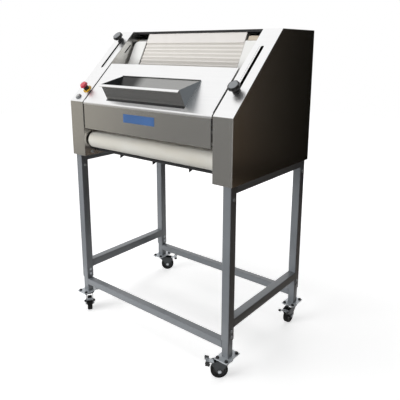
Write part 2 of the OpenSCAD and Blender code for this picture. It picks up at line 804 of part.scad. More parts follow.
// Rollers: a body and two journals
module roller(c, r, half, left_end, right_end) {
    bar_x(c, r, -half, half);
    bar_x(c, journal_r, -left_end, right_end);
}

module sprocket(c, d, side) mirrored(side) bar_x(c, d / 2, chain_x, chain_x + chain_w);

module feed_roller_upper() color("gainsboro") roller(feed_up_c, feed_r, feed_w / 2, shaft_end, shaft_end);

module feed_roller_lower() color("gainsboro") {
    roller(feed_low_c, feed_r, feed_w / 2, shaft_end, chain_x + chain_w);
    sprocket(feed_low_c, feed_sprocket_d, RIGHT);
}

module sheeting_roller_rear() color("ivory") {
    roller(rear_c, sheeting_r, sheeting_half, chain_x + chain_w, chain_x + chain_w);
    sprocket(rear_c, sprocket_d, LEFT);
    sprocket(rear_c, feed_sprocket_d, RIGHT);
}

module sheeting_roller_front() color("ivory")
    roller(front_c, sheeting_r, sheeting_half, arm_x + arm_t, arm_x + arm_t);

module roller_carrier() color("silver") difference() {
    hub_r = carrier_rod_d / 2 + 5;
    union() {
        bar_x(carrier_c, hub_r, -arm_x - arm_t, arm_x + arm_t);
        for (s = [LEFT, RIGHT]) mirrored(s) {
            bar_x(front_c, journal_r + 6, arm_x, arm_x + arm_t);
            along_x(arm_x, arm_x + arm_t) bar_between(carrier_c, front_c, arm_half);
        }
    }
    bar_x(carrier_c, carrier_rod_d / 2 + run, -inner, inner);
    bar_x(front_c, journal_r + run, -inner, inner);
}

module dough_chute() color("lightgray") along_x(-inner, inner)
    polygon([chute_top, chute_low, chute_low + [0, sheet], chute_top + [0, sheet]]);

module moulding_belt() color("linen") along_x(-belt_half, belt_half)
    loop(discharge_c, tail_c, belt_in_r, belt_t);

module discharge_roller() color("gainsboro")
    roller(discharge_c, discharge_r, belt_half, shaft_end, shaft_end);

module tail_roller() color("gainsboro") {
    roller(tail_c, discharge_r, belt_half, chain_x + chain_w, shaft_end);
    sprocket(tail_c, sprocket_d, LEFT);
}

module pressure_board() color("wheat") difference() {
    union() {
        box(-board_half, board_half, board_c[0] - board_len, board_c[0], board_c[1] - board_hub_r,
            board_c[1] - board_hub_r + board_t);
        bar_x(board_c, board_hub_r, -board_half, board_half);
    }
    bar_x(board_c, board_rod_d / 2 + run, -inner, inner);
}

// Drive
module gearmotor() color("steelblue") difference() {
    union() {
        bar_x(motor_c, motor_d / 2, motor_left, motor_left + motor_len);
        box(motor_left - gearbox_l, motor_left, motor_c[0] - gearbox / 2, motor_c[0] + gearbox / 2,
            motor_c[1] - gearbox / 2, motor_c[1] + gearbox / 2);
        box(motor_left - gearbox_l, motor_left, motor_c[0] - gearbox / 3, motor_c[0] + gearbox / 3,
            shelf_z + shelf_t, motor_c[1]);
    }
    bar_x(motor_c, journal_r + run, motor_left - gearbox_l - over, motor_left - gearbox_l / 2);
}

module motor_shelf() color("silver")
    box(-inner, inner, motor_c[0] - shelf_d / 2, motor_c[0] + shelf_d / 2, shelf_z, shelf_z + shelf_t);

module motor_sprocket() color("dimgray") {
    bar_x(motor_c, journal_r, -chain_x - chain_w, motor_left - gearbox_l / 2 - over);
    sprocket(motor_c, sprocket_d, LEFT);
}

module chain_run(r, points) linear_extrude(chain_w) difference() {
    hull() for (p = points) translate(p) circle(r + chain_t);
    hull() for (p = points) translate(p) circle(r);
}

module drive_chains() color("dimgray") {
    translate([-chain_x - chain_w, 0, 0]) rotate([90, 0, 90])
        chain_run(sprocket_d / 2 + clear, [motor_c, tail_c, rear_c]);
    along_x(chain_x, chain_x + chain_w) loop(rear_c, feed_low_c, feed_sprocket_d / 2 + clear, chain_t);
}

// Controls
module slide_rail(side, a0, a1) mirrored(side) on_face(slot_x, a0 - rail_end - block[1] / 2, -rail_deep) {
    l = a1 - a0 + 2 * rail_end + block[1];
    rotate([-90, 0, 0]) cylinder(d = rail_d, h = l);
    for (y = [0, l - rail_end / 2]) translate([inner + plate_t - slot_x, y, -rail_d])
        cube([slot_x - inner - plate_t + rail_d, rail_end / 2, 2 * rail_d]);
}

module slide_rails() color("silver") {
    slide_rail(RIGHT, gap_low, gap_high);
    slide_rail(LEFT, press_low, press_high);
}

module slider(x, along) on_face(x, along, -rail_deep) difference() {
    union() {
        translate(-block / 2) cube(block);
        cylinder(d = stem_d, h = rail_deep + knob_lift + knob_h / 2);
    }
    translate([0, -block[1], 0]) rotate([-90, 0, 0]) cylinder(d = rail_d + 2 * run, h = 2 * block[1]);
}

module gap_slider() color("dimgray") slider(slot_x, gap_low);

module pressure_slider() color("dimgray") slider(-slot_x, press_high);

// Round grip with a soft edge, and a waist on a foot that slides over the slot
module knob(x, along) on_face(x, along, clear) rotate_extrude() difference() {
    up = knob_lift - clear;
    soft = knob_h / 3;
    union() {
        square([foot_d / 2, foot_h]);
        square([stem_d, up + soft]);
        translate([0, up + soft]) square([knob_d / 2, soft]);
        translate([0, up]) square([knob_d / 2 - soft, knob_h]);
        translate([knob_d / 2 - soft, up + soft]) circle(soft);
        translate([knob_d / 2 - soft, up + knob_h - soft]) circle(soft);
    }
    translate([-over, -over]) square([stem_d / 2 + run + over, up + over + knob_h / 2 + weld]);
    translate([-knob_d, -over]) square([knob_d, up + 2 * knob_h]);
}

module gap_knob() color("black") knob(slot_x, gap_low);

module pressure_knob() color("black") knob(-slot_x, press_high);

module stop_button() color("crimson") on_face(-stop_x, stop_along, 0) {
    translate([0, 0, -18]) cylinder(d = stop_stem_d, h = 18 + ring_t + collar_h + stop_travel + 2);
    translate([0, 0, ring_t + collar_h + stop_travel + clear]) rotate_extrude() intersection() {
        translate([0, -stop_d * 0.55]) circle(stop_d * 0.9);
        square([stop_d / 2, stop_d / 3]);
    }
}

module button_bezels() color("goldenrod") {
    on_face(-stop_x, stop_along, seat) difference() {
        union() {
            cylinder(d = stop_d * 1.1, h = ring_t);
            cylinder(d = stop_d * 0.66, h = ring_t + collar_h);
        }
        translate([0, 0, -over]) cylinder(d = stop_stem_d + 2 * run, h = ring_t + collar_h + 2 * over);
    }
    on_face(-start_x, start_along, seat) difference() {
        cylinder(d = start_d, h = bezel_h);
        translate([0, 0, -over]) cylinder(d = start_cap_d + 2 * run, h = bezel_h + 2 * over);
    }
}

module start_button() color("gray") on_face(-start_x, start_along, -12)
    cylinder(d = start_cap_d, h = 12 + bezel_h + start_travel);

side_frame(LEFT);  // left_side_frame
side_frame(RIGHT);  // right_side_frame
base_frame(-leg_y);  // front_base_frame
base_frame(leg_y);  // rear_base_frame
base_channel(LEFT);  // base_channel_left
base_channel(RIGHT);  // base_channel_right
frame_bolts();
caster_plates();
caster_fork(FL);  // caster_fork_fl
caster_fork(FR);  // caster_fork_fr
caster_fork(RL);  // caster_fork_rl
caster_fork(RR);  // caster_fork_rr
caster_wheel(FL);  // caster_wheel_fl
caster_wheel(FR);  // caster_wheel_fr
caster_wheel(RL);  // caster_wheel_rl
caster_wheel(RR);  // caster_wheel_rr
brake_pedal(FL);  // brake_pedal_fl
brake_pedal(FR);  // brake_pedal_fr
brake_pedal(RL);  // brake_pedal_rl
brake_pedal(RR);  // brake_pedal_rr
side_plate(LEFT);  // side_plate_left
side_plate(RIGHT);  // side_plate_right
cheek_cover(LEFT);  // cheek_cover_left
cheek_cover(RIGHT);  // cheek_cover_right
front_panel();
rear_panel();
top_panel();
under_tray();
tie_rods();
bearings();
slanted_cover();
cover_tray();
blank_plate();
cable_gland();
feed_belt();
feed_guard();
side_guide(LEFT);  // side_guide_left
side_guide(RIGHT);  // side_guide_right
feed_roller_upper();
feed_roller_lower();
sheeting_roller_rear();
sheeting_roller_front();
roller_carrier();
dough_chute();
moulding_belt();
discharge_roller();
tail_roller();
pressure_board();
gearmotor();
motor_shelf();
motor_sprocket();
drive_chains();
slide_rails();
gap_slider();
pressure_slider();
gap_knob();
pressure_knob();
stop_button();
button_bezels();
start_button();
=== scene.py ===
"""Looks of the baguette moulder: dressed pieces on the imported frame, materials, studio and camera.

Metres, +Z up and the front towards -Y, as in the frame.
"""

import json
import math

import bmesh
import bpy
from mathutils import Matrix, Vector


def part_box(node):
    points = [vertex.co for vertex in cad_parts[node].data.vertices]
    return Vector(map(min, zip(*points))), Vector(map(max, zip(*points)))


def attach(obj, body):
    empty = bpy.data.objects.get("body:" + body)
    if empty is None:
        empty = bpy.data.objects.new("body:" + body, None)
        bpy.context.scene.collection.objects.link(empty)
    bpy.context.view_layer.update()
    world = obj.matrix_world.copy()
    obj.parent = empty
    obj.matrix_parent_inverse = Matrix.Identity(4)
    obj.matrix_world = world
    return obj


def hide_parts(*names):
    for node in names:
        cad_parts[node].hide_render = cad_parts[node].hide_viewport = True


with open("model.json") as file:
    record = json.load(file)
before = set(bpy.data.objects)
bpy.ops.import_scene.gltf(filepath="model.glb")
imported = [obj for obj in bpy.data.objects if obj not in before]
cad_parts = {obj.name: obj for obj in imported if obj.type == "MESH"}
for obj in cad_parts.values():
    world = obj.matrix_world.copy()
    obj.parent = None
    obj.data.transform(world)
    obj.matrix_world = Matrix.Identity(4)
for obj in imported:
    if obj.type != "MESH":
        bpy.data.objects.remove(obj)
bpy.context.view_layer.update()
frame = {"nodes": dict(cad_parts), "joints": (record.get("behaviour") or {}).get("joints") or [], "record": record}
MM = 0.001
CAD = frame["nodes"]
JOINTS = {joint["name"]: joint for joint in frame["joints"]}
BODY_OF = {node: body for body, nodes in frame["record"]["behaviour"]["bodies"].items() for node in nodes}
scene = bpy.context.scene
X, Y, Z = Vector((1, 0, 0)), Vector((0, 1, 0)), Vector((0, 0, 1))
CORNERS = ("fl", "fr", "rl", "rr")

# Directions of the slanted front, taken from the frame
SLOPE_UP = Vector(JOINTS["gap_slide"]["axis"])
SLOPE_OUT = X.cross(SLOPE_UP)

# Radii of folds, and of the edges that are only broken
FOLD_R = 3.5 * MM
TUBE_R = 3.5 * MM
MOTOR_R = 4 * MM
CHEEK_R = 2.5 * MM
THICK_R = 2 * MM
PLASTIC_R = 1.5 * MM
BAR_R = 1 * MM
BOLT_R = 0.8 * MM
ROD_R = 0.6 * MM
PLATE_R = 0.4 * MM
RIM_R = 0.5 * MM
RIB_RIM_R = 0.9 * MM
FELT_RIM_R = 0.6 * MM
PLATE_RIM_R = 0.3 * MM

# Rounding of edges
FOLD_STEPS = 4
RIM_STEPS = 2
ROUND_PROFILE = 0.5
SHEET_LIMIT = 6 * MM
SHARP = math.radians(30)
FLAT = math.radians(1)
SAME_POINT = 0.01 * MM
ON_AXIS = 1e-6

# Share of a unit vector along an axis from which it counts as turned that way, or as square to it
TURNED = 0.7
SQUARE_ON = 0.95
NEAR_X = 0.9

# Middle of a noise's values, which the materials spread over their own range
NOISE_LOW, NOISE_HIGH = 0.3, 0.7

# Brushed metal: marks per metre along and across the brush, and what they change
FINE_MARKS, BROAD_MARKS, CLOUDS = (12, 1100), (3, 160), (5, 5)
BRUSH_DETAIL = 2.0
STREAK_SHADES = (0.985, 1.015)
CLOUD_SHARE, CLOUD_SHADE = 0.3, 0.94
BRUSH_GLOSS = (-0.0015, 0.0025)
BRUSH_RELIEF, BRUSH_DEPTH = 0.01, 0.04 * MM

# Speckled surfaces: spots per metre, their change of roughness and the depth of the grain
SPOTS = 9
SPOT_GLOSS = (-0.04, 0.08)
SPECKLE_DEPTH = 0.1 * MM

# Belt cloth: its threads, nap and stains
CLOTH_ROUGHNESS, CLOTH_SHEEN, CLOTH_DEPTH = 0.82, 0.25, 0.2 * MM
THREADS = (("X", (1, 1, 1)), ("Y", (1, 0.7, 0.7)))
THREAD_WAVER = 0.4
NAP, NAP_DETAIL, NAP_SHADES = 700, 4.0, (0.95, 1.04)
STAINS, STAIN_SHARE, FAINT_STAIN = (6, 14, 14), 0.5, (0.93, 0.93, 0.93)


# Materials
def shader(name, colour, roughness, metallic=0.0, **sockets):
    """A new material; returns it with its node tree and its principled shader."""
    mat = bpy.data.materials.new(name)
    mat.use_nodes = True
    mat.diffuse_color = (*colour, 1)
    bsdf = mat.node_tree.nodes["Principled BSDF"]
    bsdf.inputs["Base Color"].default_value = (*colour, 1)
    bsdf.inputs["Roughness"].default_value = roughness
    bsdf.inputs["Metallic"].default_value = metallic
    for socket, value in sockets.items():
        bsdf.inputs[socket.replace("_", " ")].default_value = value
    return mat, mat.node_tree, bsdf


def place(tree, scale=(1, 1, 1)):
    """Coordinates of the piece itself, stretched."""
    where = tree.nodes.new("ShaderNodeTexCoord")
    mapping = tree.nodes.new("ShaderNodeMapping")
    mapping.inputs["Scale"].default_value = scale
    tree.links.new(where.outputs["Object"], mapping.inputs["Vector"])
    return mapping.outputs["Vector"]


def grain(tree, scale, detail=3.0, rough=0.55):
    """Noise from 0 to 1 whose features measure 1 / scale along each axis."""
    texture = tree.nodes.new("ShaderNodeTexNoise")
    texture.inputs["Scale"].default_value = 1.0
    texture.inputs["Detail"].default_value = detail
    texture.inputs["Roughness"].default_value = rough
    tree.links.new(place(tree, scale), texture.inputs["Vector"])
    return texture.outputs["Fac"]


def mapped(tree, value, start, end, low=0.0, high=1.0, blend="LINEAR"):
    """Maps start to low and end to high, and stays there beyond them."""
    ramp = tree.nodes.new("ShaderNodeMapRange")
    ramp.interpolation_type = blend
    for socket, number in (("From Min", start), ("From Max", end), ("To Min", low), ("To Max", high)):
        ramp.inputs[socket].default_value = number
    tree.links.new(value, ramp.inputs["Value"])
    return ramp.outputs["Result"]


def spread(tree, noise, low, high):
    """Maps the middle of a noise to low and high."""
    return mapped(tree, noise, NOISE_LOW, NOISE_HIGH, low, high)


def along_x(tree, start, end):
    """0 at one place along the piece's X and 1 at the other."""
    split = tree.nodes.new("ShaderNodeSeparateXYZ")
    tree.links.new(place(tree), split.inputs["Vector"])
    return mapped(tree, split.outputs["X"], start, end, blend="SMOOTHSTEP")


def combined(tree, operation, first, second):
    """Two values put together."""
    node = tree.nodes.new("ShaderNodeMath")
    node.operation = operation
    tree.links.new(first, node.inputs[0])
    tree.links.new(second, node.inputs[1])
    return node.outputs["Value"]


def mixed(tree, fac, colour_a, colour_b):
    """One colour where fac is 0 and the other where it is 1; a colour may be a socket."""
    mix = tree.nodes.new("ShaderNodeMix")
    mix.data_type = "RGBA"
    tree.links.new(fac, mix.inputs["Factor"])
    for socket, colour in (("A", colour_a), ("B", colour_b)):
        target = next(i for i in mix.inputs if i.name == socket and i.type == "RGBA")
        if isinstance(colour, bpy.types.NodeSocket):
            tree.links.new(colour, target)
        else:
            target.default_value = (*colour, 1)
    return next(o for o in mix.outputs if o.type == "RGBA")


def bump(tree, bsdf, height, strength, distance):
    """Relief from a height value."""
    node = tree.nodes.new("ShaderNodeBump")
    node.inputs["Strength"].default_value = strength
    node.inputs["Distance"].default_value = distance
    tree.links.new(height, node.inputs["Height"])
    tree.links.new(node.outputs["Normal"], bsdf.inputs["Normal"])


def shade(colour, factor):
    """A lighter or darker colour."""
    return tuple(min(1.0, c * factor) for c in colour)


def between(tree, noise, colour, shades):
    """A colour that a noise moves between two shades of it."""
    dark, light = shades
    return mixed(tree, spread(tree, noise, 0, 1), shade(colour, dark), shade(colour, light))


def brushed(name, colour, roughness, along, metallic=1.0, painted_reflection_fade=None):
    """Sheet metal with fine and broad brush marks along one axis, and a faint cloudiness.

    The last argument gives two places along X and a share: between them the colour grows from that share of itself
    to all, a painted reflection that is dark at one end.
    """
    mat, tree, bsdf = shader(name, colour, roughness, metallic)
    fine, broad, cloud = [
        grain(tree, [lengthwise if axis == along else across for axis in range(3)], BRUSH_DETAIL)
        for lengthwise, across in (FINE_MARKS, BROAD_MARKS, CLOUDS)]
    streaks = between(tree, broad, colour, STREAK_SHADES)
    surface = mixed(tree, spread(tree, cloud, 0, CLOUD_SHARE), streaks, shade(colour, CLOUD_SHADE))
    # Painted reflection: the colour darkens towards one end along X
    if painted_reflection_fade:
        start, end, share = painted_reflection_fade
        surface = mixed(tree, along_x(tree, start, end), shade(colour, share), surface)
    tree.links.new(surface, bsdf.inputs["Base Color"])
    gloss = spread(tree, fine, roughness + BRUSH_GLOSS[0], roughness + BRUSH_GLOSS[1])
    tree.links.new(gloss, bsdf.inputs["Roughness"])
    bump(tree, bsdf, fine, BRUSH_RELIEF, BRUSH_DEPTH)
    return name, mat


def speckled(name, colour, roughness, metallic=0.0, size=3 * MM, vary=0.08, relief=0.15, **sockets):
    """Paint, plastic, rubber or plain metal: slow change of colour, uneven gloss and a grain."""
    mat, tree, bsdf = shader(name, colour, roughness, metallic, **sockets)
    slow = grain(tree, (SPOTS,) * 3)
    fine = grain(tree, (1 / size,) * 3)
    tree.links.new(between(tree, slow, colour, (1 - vary, 1 + vary)), bsdf.inputs["Base Color"])
    gloss = spread(tree, slow, roughness + SPOT_GLOSS[0], min(1.0, roughness + SPOT_GLOSS[1]))
    tree.links.new(gloss, bsdf.inputs["Roughness"])
    bump(tree, bsdf, fine, relief, SPECKLE_DEPTH)
    return name, mat


def woven(name, colour, pitch, relief, stain=FAINT_STAIN):
    """Belt cloth: threads across and along, with a nap and stains."""
    mat, tree, bsdf = shader(name, colour, CLOTH_ROUGHNESS, Sheen_Weight=CLOTH_SHEEN)
    threads = []
    for direction, stretch in THREADS:
        wave = tree.nodes.new("ShaderNodeTexWave")
        wave.bands_direction = direction
        wave.inputs["Scale"].default_value = 1 / (2 * pitch)
        wave.inputs["Distortion"].default_value = THREAD_WAVER
        tree.links.new(place(tree, stretch), wave.inputs["Vector"])
        threads.append(wave.outputs["Fac"])
    nap = grain(tree, (NAP,) * 3, NAP_DETAIL)
    height = combined(tree, "ADD", combined(tree, "MULTIPLY", *threads), nap)
    spots = spread(tree, grain(tree, STAINS), 0, STAIN_SHARE)
    stained = [c * s for c, s in zip(colour, stain)]
    surface = mixed(tree, spots, between(tree, nap, colour, NAP_SHADES), stained)
    tree.links.new(surface, bsdf.inputs["Base Color"])
    bump(tree, bsdf, height, relief, CLOTH_DEPTH)
    return name, mat


# Materials by the name asked for, which Blender changes where the frame has one of that name
# Brushed: colour, roughness, axis of the marks, share of metal
# Speckled: colour, roughness, share of metal, size of the grain, change of colour, relief
# Woven: colour, pitch of the threads, relief, stain
ALONG_X, ALONG_Y, ALONG_Z = range(3)
STEEL, STEEL_ROUGHNESS = (0.62, 0.61, 0.59), 0.27
MATERIALS = dict((
    brushed("steel_x", STEEL, STEEL_ROUGHNESS, ALONG_X),
    brushed("steel_y", STEEL, STEEL_ROUGHNESS, ALONG_Y),
    brushed("steel_z", STEEL, STEEL_ROUGHNESS, ALONG_Z),
    # Lighter copy of the steel, for faces turned up and the tray's rim: painted light
    brushed("steel_painted_light", (0.94, 0.94, 0.94), 0.34, ALONG_X),
    brushed("steel_back", (0.5, 0.5, 0.49), 0.42, ALONG_Z, 0.45),
    # Darker copy of the steel, for the cheeks' faces turned sideways: painted shade
    brushed("steel_painted_shade", (0.42, 0.42, 0.41), 0.2, ALONG_Y),
    # Tray steel darker than the other steel: painted shade
    brushed("tray_steel_painted_shade", (0.37, 0.37, 0.37), 0.22, ALONG_X),
    # Tray inside: painted reflection, dark at the left end and growing to the full colour towards the middle
    brushed("tray_inside_painted_reflection", (0.37, 0.37, 0.362), 0.25, ALONG_X, painted_reflection_fade=(-145 * MM, -65 * MM, 0.13)),
    # Tray ends, darker still: painted dark reflection
    brushed("tray_end_painted_reflection", (0.135, 0.148, 0.158), 0.25, ALONG_Z),
    speckled("dark_steel", (0.05, 0.05, 0.052), 0.45, 0.6, 2 * MM),
    speckled("bright_steel", (0.6, 0.6, 0.59), 0.25, 1.0, 1 * MM, 0.05),
    speckled("zinc", (0.6, 0.63, 0.66), 0.36, 0.45, 4 * MM, 0.12),
    speckled("frame_paint", (0.2, 0.215, 0.232), 0.42, 0.0, 2.5 * MM, 0.06, Coat_Weight=0.6,
             Coat_Roughness=0.22),
    speckled("fork_black", (0.06, 0.064, 0.068), 0.42, 0.2, 2 * MM, 0.15),
    speckled("rubber", (0.008, 0.008, 0.008), 0.75, 0.0, 0.8 * MM, 0.25, 0.3, Specular_IOR_Level=0.25),
    speckled("hub_grey", (0.03, 0.03, 0.031), 0.5, 0.0, 1 * MM),
    speckled("bronze", (0.4, 0.31, 0.2), 0.4, 1.0, 1 * MM),
    speckled("blue_plate", (0.07, 0.16, 0.38), 0.38, 0.35, 1 * MM, 0.1, 0.1),
    speckled("black_plastic", (0.014, 0.014, 0.015), 0.36, 0.0, 0.7 * MM, 0.15),
    speckled("knob_grey", (0.24, 0.25, 0.26), 0.4, 0.0, 0.8 * MM),
    # Belt cloth between the ribs, darker than the ribs: painted shade
    woven("feed_cloth_painted_shade", (0.66, 0.63, 0.59), 1.4 * MM, 0.25),
    woven("rib_cloth", (0.83, 0.8, 0.76), 1.4 * MM, 0.25),
    woven("felt", (0.7, 0.69, 0.64), 2.2 * MM, 0.5, (0.84, 0.79, 0.7)),
    speckled("cream_plastic", (0.79, 0.76, 0.73), 0.42, 0.0, 1.2 * MM, 0.03),
    speckled("beige_plastic", (0.56, 0.48, 0.38), 0.45, 0.0, 1.2 * MM, 0.05),
    speckled("white_plastic", (0.86, 0.86, 0.84), 0.4, 0.0, 1.2 * MM, 0.03),
    brushed("wood", (0.6, 0.46, 0.3), 0.6, ALONG_X, 0.0),
    speckled("motor_paint", (0.1, 0.17, 0.26), 0.4, 0.0, 2 * MM),
    speckled("stop_red", (0.62, 0.06, 0.09), 0.3, 0.0, 0.8 * MM, 0.05, Coat_Weight=0.3),
    speckled("ring_yellow", (0.72, 0.42, 0.03), 0.35, 0.0, 0.8 * MM, 0.06),
    speckled("button_silver", (0.5, 0.5, 0.5), 0.32, 0.8, 0.8 * MM, 0.05),
    speckled("ink", (0.1, 0.1, 0.1), 0.6, 0.0, 0.5 * MM),
))


# Meshes
def add_piece(name, bm, mats, body, replaced=()):
    """Turns a bmesh into a smooth-shaded piece that rides on a body."""
    mesh = bpy.data.meshes.new(name)
    bmesh.ops.recalc_face_normals(bm, faces=bm.faces)
    bm.to_mesh(mesh)
    bm.free()
    for mat in mats:
        mesh.materials.append(MATERIALS[mat])
    mesh.shade_smooth()
    mesh.set_sharp_from_angle(angle=SHARP)
    piece = bpy.data.objects.new(name, mesh)
    scene.collection.objects.link(piece)
    weighted = piece.modifiers.new("weighted", "WEIGHTED_NORMAL")
    weighted.keep_sharp = True
    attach(piece, body)
    if replaced:
        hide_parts(*replaced)


def weld(bm):
    """Joins the points that lie in one place."""
    bmesh.ops.remove_doubles(bm, verts=bm.verts, dist=SAME_POINT)


def face_width(face):
    """How wide a long face is."""
    return 2 * face.calc_area() / face.calc_perimeter()


def is_fold(edge):
    """Whether an edge lies between two faces of a sheet, not along its cut rim."""
    return all(face_width(face) > SHEET_LIMIT for face in edge.link_faces)


def round_edges(bm, wanted, radius, segments):
    """Rounds the convex edges that are sharp and wanted."""
    edges = [e for e in bm.edges if len(e.link_faces) == 2 and e.is_convex
             and e.calc_face_angle(0) > SHARP and wanted(e)]
    if edges:
        bmesh.ops.bevel(bm, geom=edges, offset=radius, offset_type="OFFSET", segments=segments,
                        profile=ROUND_PROFILE, affect="EDGES", clamp_overlap=True, loop_slide=True)


def cad_copy(node, whole_faces):
    """The node's own solids as a clean mesh, of whole flat faces where edges are to be rounded."""
    bm = bmesh.new()
    bm.from_mesh(CAD[node].data)
    weld(bm)
    if whole_faces:
        bmesh.ops.dissolve_limit(bm, angle_limit=FLAT, verts=bm.verts, edges=bm.edges)
    for face in bm.faces:
        face.material_index = 0
    return bm


def dressed(node, mats, fold, rim=RIM_R, which=None, shape=None):
    """The node with rolled folds and broken edges.

    shape bends its mesh, and which picks a material for each face.
    """
    bm = cad_copy(node, fold or rim)
    if shape:
        shape(bm)
    if fold:
        round_edges(bm, is_fold, fold, FOLD_STEPS)
    if rim:
        round_edges(bm, lambda edge: True, rim, RIM_STEPS)
    if which:
        bm.normal_update()
        for face in bm.faces:
            face.material_index = which(face)
    add_piece(node + "_dressed", bm, mats, BODY_OF[node], [node])


def frame_at(origin, axis, forward=None):
    """A matrix that puts local Z along axis, and local X as near to forward as it can be."""
    up = Vector(axis).normalized()
    ahead = Vector(forward) if forward else (X if abs(up.x) < NEAR_X else Y)
    side = up.cross(ahead).normalized()
    ahead = side.cross(up)
    turn = Matrix((ahead, side, up)).transposed().to_4x4()
    return Matrix.Translation(Vector(origin)) @ turn


def extent(node, axis):
    """Lowest and highest place of a node along a direction."""
    along = [vertex.co.dot(axis) for vertex in CAD[node].data.vertices]
    return min(along), max(along)


def half_size(node, axis):
    """Half of a node's size along a direction."""
    low, high = extent(node, axis)
    return (high - low) / 2


def foot_of(node):
    """The middle of a control's underside on the slanted front, and its height."""
    middles = [sum(extent(node, axis)) / 2 * axis for axis in (X, SLOPE_UP)]
    low, high = extent(node, SLOPE_OUT)
    return middles[0] + middles[1] + low * SLOPE_OUT, high - low


def arc(centre, radius, start, end, steps):
    """Points of an arc in a profile, from one angle to another in degrees."""
    angles = [math.radians(start + (end - start) * i / steps) for i in range(steps + 1)]
    return [(centre[0] + radius * math.cos(a), centre[1] + radius * math.sin(a)) for a in angles]


def closed(profile):
    """A profile that ends where it starts."""
    return profile + [profile[0]]


def mirrored(profile):
    """Half a profile with its mirror image, closed."""
    return closed(profile + [(radius, -height) for radius, height in reversed(profile)])


def lathe(bm, profile, matrix, steps, mat=0, lobes=0, depth=0.0):
    """Turns a profile of (radius, height) points; lobes press hollows of a depth into its rim."""
    rings = []
    for radius, height in profile:
        if radius < ON_AXIS:
            rings.append([bm.verts.new(matrix @ Vector((0, 0, height)))])
            continue
        ring = []
        for i in range(steps):
            angle = 2 * math.pi * i / steps
            r = radius - depth * (0.5 - 0.5 * math.cos(lobes * angle)) if lobes else radius
            ring.append(bm.verts.new(matrix @ Vector((r * math.cos(angle), r * math.sin(angle), height))))
        rings.append(ring)
    for low, high in zip(rings, rings[1:]):
        for i in range(steps):
            j = (i + 1) % steps
            corners = [low[i % len(low)], low[j % len(low)], high[j % len(high)], high[i % len(high)]]
            corners = [v for k, v in enumerate(corners) if v not in corners[:k]]
            if len(corners) > 2:
                bm.faces.new(corners).material_index = mat


def slab(bm, low, high, matrix, radius=0.0, segments=2, mat=0):
    """A block between two corners with rounded edges."""
    made = bmesh.ops.create_cube(bm, size=1.0)["verts"]
    size, middle = Vector(high) - Vector(low), (Vector(high) + Vector(low)) / 2
    for vertex in made:
        vertex.co = matrix @ (middle + Vector([a * b for a, b in zip(vertex.co, size)]))
    edges = list({e for v in made for e in v.link_edges})
    for face in {f for v in made for f in v.link_faces}:
        face.material_index = mat
    if radius:
        rounded = bmesh.ops.bevel(bm, geom=edges, offset=radius, segments=segments, profile=ROUND_PROFILE,
                                  affect="EDGES")
        for face in rounded["faces"]:
            face.material_index = mat


def hex_head(bm, matrix, across, height):
    """A chamfered hexagon head standing on local Z = 0."""
    r = across / math.sqrt(3)
    shoulder, top_r, sides = height * 0.8, r * 0.86, 6
    lathe(bm, [(0, 0), (r, 0), (r, shoulder), (top_r, height), (0, height)], matrix, sides)


def pan_head(bm, matrix, r, height):
    """A screw's domed head with a round socket in it."""
    socket, bottom, steps = r * 0.4, height * 0.4, 16
    angles = [math.radians(a) for a in (0, 25, 45, 62)]
    dome = [(r * math.cos(a), height * math.sin(a)) for a in angles]
    lathe(bm, [(0, 0)] + dome + [(socket, height), (socket, bottom), (0, bottom)], matrix, steps)


# Stand
def build_stand():
    for node in ("left_side_frame", "right_side_frame", "front_base_frame", "rear_base_frame"):
        dressed(node, ["frame_paint"], TUBE_R)
    for node in ("base_channel_left", "base_channel_right"):
        dressed(node, ["frame_paint"], THICK_R)
    dressed("frame_bolts", ["zinc"], BOLT_R)


# Casters
def build_fork(corner):
    """The fork, black, with its axle bolt's ends bright."""
    joint = JOINTS[f"roll_{corner}"]
    axle, axis = Vector(joint["pos_m"]), Vector(joint["axis"])
    beside, head = 3.2 * MM, 9 * MM
    cheek = extent(f"caster_wheel_{corner}", axis)[1] - axle.dot(axis) + beside

    def on_bolt(point):
        away = point - axle
        along = away.dot(axis)
        return (away - along * axis).length < head and abs(along) > cheek

    def is_bolt(face):
        return all(on_bolt(vertex.co) for vertex in face.verts)

    dressed(f"caster_fork_{corner}", ["fork_black", "zinc"], BAR_R, which=is_bolt)


def build_wheel(corner):
    """A tyre with round shoulders on a hub with a recessed web."""
    joint = JOINTS[f"roll_{corner}"]
    node = f"caster_wheel_{corner}"
    axis = Vector(joint["axis"])
    here = frame_at(joint["pos_m"], axis)
    r, hub = half_size(node, Z), half_size(node, axis)
    half, shoulder, rim, bore = 12.5 * MM, 5 * MM, r - 10 * MM, 5.1 * MM
    boss, web_in, web_out = bore + 5 * MM, 6 * MM, 5 * MM
    edge, draft, fillet = 1 * MM, 0.5 * MM, 2 * MM
    crown = arc((r - shoulder, half - shoulder), shoulder, start=90, end=0, steps=6)
    tyre = [(rim, half - edge - draft), (rim + edge, half)] + crown
    web = [(bore, hub), (boss, hub), (boss + edge, hub - edge), (boss + edge + draft, web_in),
           (rim - 2 * fillet, web_out), (rim - fillet, half - fillet - draft), (rim, half - fillet)]
    bm = bmesh.new()
    lathe(bm, mirrored(tyre), here, steps=64)
    lathe(bm, mirrored(web), here, steps=48, mat=1)
    weld(bm)
    add_piece(f"wheel_{corner}", bm, ["rubber", "hub_grey"], f"wheel_{corner}", [node])


